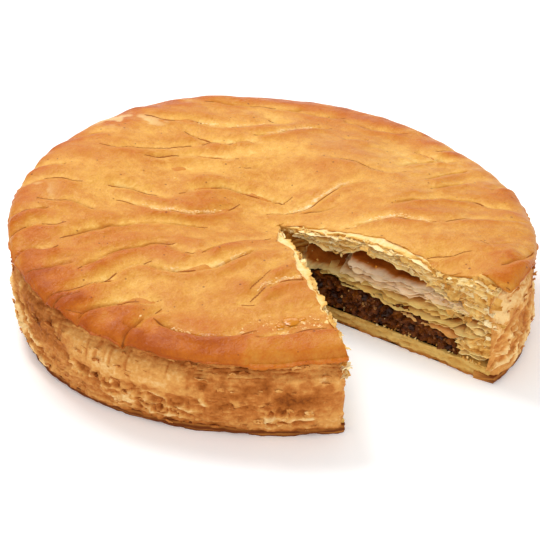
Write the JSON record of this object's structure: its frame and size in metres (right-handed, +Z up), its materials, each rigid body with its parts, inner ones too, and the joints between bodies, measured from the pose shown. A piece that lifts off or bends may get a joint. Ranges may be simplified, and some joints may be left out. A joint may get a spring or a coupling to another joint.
{
  "type": "galette des rois",
  "caption": "Round galette des rois of glazed, scored puff pastry with a dark fruit and nut filling, one slice cut out so that its flaky layers show.",
  "frame": {"origin": "middle of the bounding box, on the surface that the pie stands on", "axes": "+Z up; -Y runs out through the middle of the missing slice; +X to the right when facing the slice from outside"},
  "size_m": [0.223, 0.2204, 0.0529],
  "materials": {
    "glazed_puff_pastry": "egg-glazed golden crust with a soft gloss on top, dry flaky layers on the wall and the cut faces",
    "fruit_nut_filling": "moist dark brown crumb with near-black fruit and pale nut specks",
    "base_pastry": "matt baked pastry, pale above and browner underneath"
  },
  "bodies": {
    "root": {"top_pastry": "glazed_puff_pastry", "filling": "fruit_nut_filling", "bottom_pastry": "base_pastry"}
  },
  "joints": []
}
